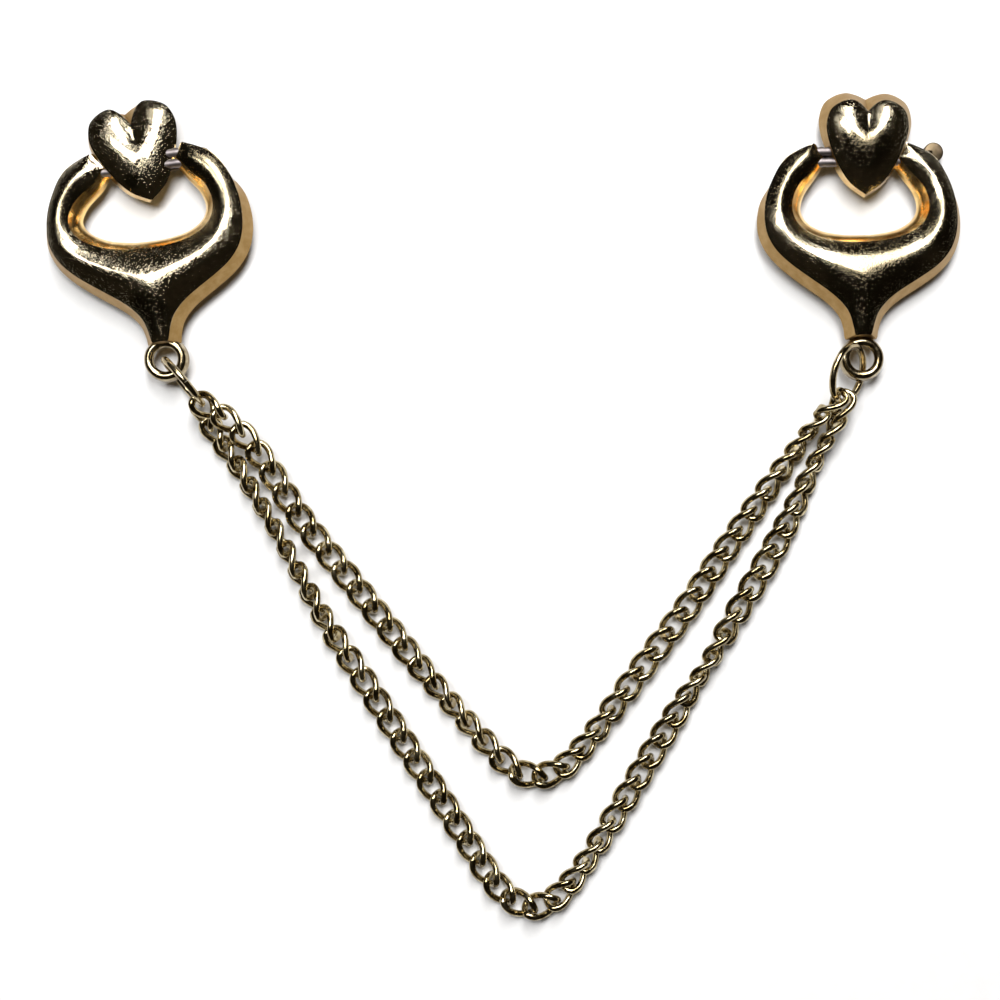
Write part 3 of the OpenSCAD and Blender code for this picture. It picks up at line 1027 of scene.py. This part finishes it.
@dataclass
class JumpRing:
    """A ring of round wire, bent closed with its two ends butted."""

    side: Side
    ring_r: float = 2.965
    wire_d: float = 0.74
    gap: float = 1.1
    # The left ring stands almost upright on the paper
    left_heading: float = -49.0
    left_lean: float = 12.0
    left_slack: float = 0.3
    left_split: float = 75.0
    # The right ring leans over its eyelet
    right_heading: float = -18.0
    right_tip: float = 54.0
    right_shift: tuple[float, float, float] = (-1.66, -1.7, 1.2)
    right_split: float = 172.0

    def place(self) -> Matrix:
        """Where this side's ring lies against its eyelet.

        Returns:
            The ring's matrix in metres, which turns its X axis to where its two ends meet.
        """
        x, y = SEATS[self.side].eyelet(HeartFrame.eyelet_drop)
        if self.side is Side.LEFT:
            heading = self.left_heading
            x, y = (x, y) + turned(np.array([self.ring_r + self.left_slack, 0]), heading)
            z = self.ring_r * math.cos(math.radians(self.left_lean)) + self.wire_d / 2
            stand, split = rotation(90 - self.left_lean, "X"), self.left_split
        else:
            heading = self.right_heading
            x, y, z = np.array([x, y, BACK_HEIGHT + HeartFrame.eyelet_wire_d / 2]) + self.right_shift
            stand, split = rotation(self.right_tip, "Y"), self.right_split
        return Matrix.Translation(Vector((x, y, z)) * MM) @ rotation(heading) @ stand @ rotation(split)

    def build(self, material: bpy.types.Material) -> bpy.types.Object:
        """Models the ring.

        Args:
            material: Its plated wire.

        Returns:
            The finished object.
        """
        bm = bmesh.new()
        made = bmesh.ops.create_circle(bm, segments=28, radius=self.wire_d / 2 * MM, cap_ends=True)
        upright = Matrix.Translation(Vector((self.ring_r, 0, 0)) * MM) @ rotation(90, "X")
        bmesh.ops.transform(bm, matrix=upright, verts=made["verts"])
        round_it = math.radians(360 - self.gap)
        bmesh.ops.spin(bm, geom=list(bm.faces), cent=(0, 0, 0), axis=(0, 0, 1), angle=round_it, steps=110)
        bmesh.ops.transform(bm, matrix=self.place() @ rotation(self.gap / 2), verts=bm.verts)
        return finished(f"{self.side.value}_ring", bm, [material], 40)


@dataclass
class CurbChain:
    """One swag of curb chain: twisted oval links that interlock along a route."""

    name: str
    route: Rows
    pitch: float = 2.6
    slack: float = 0.48
    half_w: float = 1.42
    wire_d: float = 0.6
    twist: float = 60.0
    oval_power: float = 0.7
    fuller: float = 0.045
    filed: float = 0.1
    lying_gap: float = 0.1
    around: int = 44
    wire_sides: int = 14

    def link_line(self) -> tuple[np.ndarray, np.ndarray]:
        """The middle line of one link, evenly spaced.

        Returns:
            The points and the link's local upright at each.
        """
        t = np.radians(np.arange(0, 360, 0.25))
        circle = np.stack([np.cos(t), np.sin(t)], 1)
        oval = np.sign(circle) * np.abs(circle) ** self.oval_power
        half = np.array([(self.pitch + self.slack + self.wire_d) / 2, self.half_w - self.wire_d / 2])
        closed = np.vstack([oval, oval[:1]])
        run = distances(closed * half)
        even = np.arange(self.around) * run[-1] / self.around
        x, y = (np.interp(even, run, closed[:, k]) for k in (0, 1))
        lift = np.radians(self.twist * x)
        line = np.stack([half[0] * x, half[1] * y * np.cos(lift), half[1] * y * np.sin(lift)], 1)
        upright = np.stack([np.zeros_like(x), -np.sin(lift), np.cos(lift)], 1)
        return line, upright

    def link_rings(self) -> np.ndarray:
        """The loops of points round the wire of one link, with its faces filed a little flat.

        Returns:
            The points, as loops along the link of places round the wire.
        """
        line, upright = self.link_line()
        along = np.roll(line, -1, 0) - np.roll(line, 1, 0)
        along /= np.linalg.norm(along, axis=1)[:, None]
        out = np.cross(along, upright)
        out /= np.linalg.norm(out, axis=1)[:, None]
        up = np.cross(out, along)
        a = 2 * np.pi * np.arange(self.wire_sides) / self.wire_sides
        r = self.wire_d / 2 + self.fuller
        section = out[:, None] * np.cos(a)[None, :, None] + up[:, None] * np.sin(a)[None, :, None]
        rings = line[:, None] + r * section
        top = np.abs(rings[..., 2]).max() - self.filed
        rings[..., 2] = np.clip(rings[..., 2], -top, top)
        return rings

    def lying_z(self, points: np.ndarray, roll: np.ndarray) -> np.ndarray:
        """Height of a lying link's middle for some turns about its own line.

        Args:
            points: All points of one link.
            roll: The turns in degrees.

        Returns:
            The heights.
        """
        a = np.radians(roll)[:, None]
        return self.lying_gap - (points[None, :, 1] * np.sin(a) + points[None, :, 2] * np.cos(a)).min(1)

    def link_places(self, points: np.ndarray) -> list[Matrix]:
        """Where each link goes.

        Args:
            points: All points of one link.

        Returns:
            One matrix for each link, in metres.
        """
        line = smooth_rows(self.route, 10)
        line[:, 2] = np.maximum(line[:, 2], self.lying_z(points, line[:, 3]))
        run = distances(line[:, :3])
        count = round(run[-1] / self.pitch)
        ends = np.arange(count + 1) * run[-1] / count
        middles = (np.arange(count) + 0.5) * run[-1] / count
        joints = np.stack([np.interp(ends, run, line[:, k]) for k in range(3)], 1)
        rolls = np.interp(middles, run, line[:, 3])
        places = []
        for a, b, roll in zip(joints[:-1], joints[1:], rolls):
            along = Vector(b - a).normalized()
            side = Vector((0, 0, 1)).cross(along).normalized()
            basis = Matrix((along, side, along.cross(side))).transposed().to_4x4()
            middle = Vector((a + b) / 2) - Vector((*MIDDLE, 0))
            places.append(Matrix.Translation(middle * MM) @ basis @ rotation(roll, "X"))
        return places

    def build(self, material: bpy.types.Material) -> bpy.types.Object:
        """Models the whole swag as one piece.

        Args:
            material: Its plated wire.

        Returns:
            The finished object.
        """
        rings = self.link_rings()
        link = bmesh.new()
        loft = Loft(link, rings[0])
        for ring in rings[1:]:
            loft.draw(ring)
        loft.join_ends()
        pattern = bpy.data.meshes.new("link_pattern")
        link.to_mesh(pattern)
        link.free()
        bm = bmesh.new()
        for place in self.link_places(rings.reshape(-1, 3)):
            before = set(bm.verts)
            bm.from_mesh(pattern)
            bmesh.ops.transform(bm, matrix=place, verts=[v for v in bm.verts if v not in before])
        bpy.data.meshes.remove(pattern)
        return finished(self.name, bm, [material], 50)


# Middles of the places where the plate is rubbed and darkened as painted shade over its highlights, in x and
# y, and how far each reaches
WORN_AND_SHADED_PLACES = (
    (-30.4, 35.0, 6.0), (-46.8, 31.6, 5.0), (-38.7, 33.8, 1.6), (-36.8, 20.0, 3.2),
    (30.1, 34.6, 6.0), (39.0, 24.5, 7.5), (46.6, 29.6, 4.5), (38.0, 37.6, 3.6), (39.0, 18.5, 4.0),
)

# Places along each swag: x, y, the least height of a link's middle, and the link's roll in degrees
INNER_ROUTE = (
    (-31.18, 10.46, 4.1, 30), (-28.8, 9, 3.7, 34), (-26.75, 6.95, 2.72, 28), (-25.05, 4.6, 1.5, 22),
    (-23.35, 1.85, 0, 15), (-20.8, -2.1, 0, 8), (-14.45, -10, 0, 8), (-9.45, -16.2, 0, 25),
    (-5.95, -20.35, 0, 50), (-2.4, -24.4, 0, 50), (0, -27, 0, 34), (2.6, -29, 0, 10),
    (5.8, -28.6, 0, 16), (8.5, -26.1, 0, 40), (11.1, -22.8, 0, 45), (14.75, -17.8, 0, 15),
    (19.5, -11.45, 0, 8), (23.6, -5.3, 0, 25), (27.35, 0.15, 0, 42), (30.7, 4.8, 0, 60),
    (32.4, 7.35, 1.9, 78), (33.85, 9.25, 2.9, 90), (35.55, 10.92, 3.76, 96),
)
OUTER_ROUTE = (
    (-31.5, 10.62, 1.74, 18), (-30.65, 8.2, 1.12, 36), (-29.3, 6.1, 0, 55), (-27.85, 4, 0, 64),
    (-23.6, -3.05, 0, 75), (-18.75, -12.05, 0, 60), (-14.8, -18.2, 0, 25), (-10.15, -25.5, 0, 8),
    (-4.15, -34.75, 0, 8), (-1.4, -39.2, 0, 5), (0.6, -41.7, 0, 3), (3.4, -43, 0, 3),
    (6, -41.8, 0, 15), (7.9, -39.45, 0, 40), (9.55, -37.15, 0, 52), (13.3, -31.1, 0, 25),
    (15.95, -26.65, 0, 15), (18.5, -22.4, 0, 30), (20.2, -19.65, 0, 58), (22.3, -16.4, 0, 78),
    (24.6, -12.3, 0, 40), (28.2, -6.2, 0, 8), (30.7, -1.4, 0, 40), (32.85, 3.45, 0, 68),
    (34.15, 6, 0, 86), (35.4, 8.4, 1.6, 102), (36.34, 10.97, 2.55, 114),
)


@dataclass(frozen=True)
class SoftLight:
    """A soft rectangular studio light. Its strength is the brightness of its surface."""

    name: str
    spot: tuple[float, float, float]
    size: Pair
    strength: float

    def hang(self) -> None:
        """Hangs the light so that it faces the set."""
        data = bpy.data.lights.new(self.name, "AREA")
        data.shape = "RECTANGLE"
        data.size, data.size_y = self.size
        data.energy = self.strength * self.size[0] * self.size[1] * math.pi
        light = bpy.data.objects.new(self.name, data)
        light.location = self.spot
        light.rotation_euler = Vector(self.spot).to_track_quat("Z", "Y").to_euler()
        bpy.context.scene.collection.objects.link(light)


@dataclass
class Studio:
    """The paper, the soft lights and the camera over the set."""

    floor_size: float = 1.6
    camera_spot: tuple[float, float, float] = (10.226, 0.674, 170.0)
    field_width: float = 106.38
    sensor: float = 36.0
    lens_shift: float = -0.1
    clip: Pair = (0.01, 5.0)
    room: Colour = (0.02, 0.0165, 0.011)
    lights: tuple[SoftLight, ...] = (
        SoftLight("key", (-0.13, 0.13, 0.4), (0.16, 0.12), 16.0),
        SoftLight("window", (0.05, 0.28, 0.4), (0.17, 0.39), 17.0),
    )

    def lay_floor(self) -> None:
        """Lays the paper under the set."""
        bm = bmesh.new()
        bmesh.ops.create_grid(bm, x_segments=1, y_segments=1, size=self.floor_size / 2)
        material = PalePaper().make()
        finished("paper_floor", bm, [material], 30)

    def light(self) -> None:
        """Hangs the lights and darkens the room."""
        world = bpy.data.worlds.new("room")
        world.use_nodes = True
        world.node_tree.nodes["Background"].inputs["Color"].default_value = (*self.room, 1)
        bpy.context.scene.world = world
        for light in self.lights:
            light.hang()

    def stand_camera(self) -> None:
        """Stands the camera straight over the set."""
        data = bpy.data.cameras.new("camera")
        data.sensor_width = self.sensor
        data.lens = self.sensor * self.camera_spot[2] / self.field_width
        data.shift_x = self.lens_shift
        data.clip_start, data.clip_end = self.clip
        camera = bpy.data.objects.new("camera", data)
        camera.location = Vector(self.camera_spot) * MM
        bpy.context.scene.collection.objects.link(camera)
        bpy.context.scene.camera = camera

    def build(self) -> None:
        """Sets the whole stage."""
        self.lay_floor()
        self.light()
        self.stand_camera()
        bpy.context.scene.view_settings.view_transform = "Standard"


def main() -> None:
    """Builds the set, piece by piece, and its stage."""
    logging.basicConfig(level=logging.INFO, format="%(message)s")
    Studio().build()
    face = PolishedPlate("polished_plate", (0.54, 0.47, 0.34), (0.12, 0.097, 0.055), worn_and_shaded=WORN_AND_SHADED_PLACES).make()
    wall = SatinSide().make()
    bore = PlatedMetal("polished_bore", (0.9, 0.66, 0.3), (0.7, 0.45, 0.16)).make()
    # The pegs' dark grey is painted shade, for cast pegs that lie recessed and shaded between heart and arm
    peg = PlatedMetal("peg_painted_shade", (0.27, 0.24, 0.23), (0.17, 0.15, 0.15), 0.46).make()
    loop = PlatedMetal("eyelet_wire", (0.5, 0.42, 0.27), (0.2, 0.15, 0.08), 0.14).make()
    pin = PlatedMetal("pin_metal", (0.13, 0.095, 0.06), (0.08, 0.06, 0.035), 0.36).make()
    wire = PlatedMetal("chain_wire", (0.62, 0.53, 0.33), (0.2, 0.145, 0.06), 0.12).make()
    ring_wire = PlatedMetal("ring_wire", (0.6, 0.5, 0.32), (0.2, 0.15, 0.07), 0.12).make()
    for side in Side:
        casting = HeartFrame(side).build([face, wall, bore, peg, loop])
        fit_to_frame(casting, f"{side.value}_heart_frame")
        fit_to_frame(PinBack(side).build(pin), f"{side.value}_pin_back")
        fit_to_frame(JumpRing(side).build(ring_wire), f"{side.value}_jump_ring")
    for name, route in (("inner", INNER_ROUTE), ("outer", OUTER_ROUTE)):
        fit_to_frame(CurbChain(f"{name}_swag", route).build(wire), f"{name}_chain")


if __name__ == "__main__":
    main()
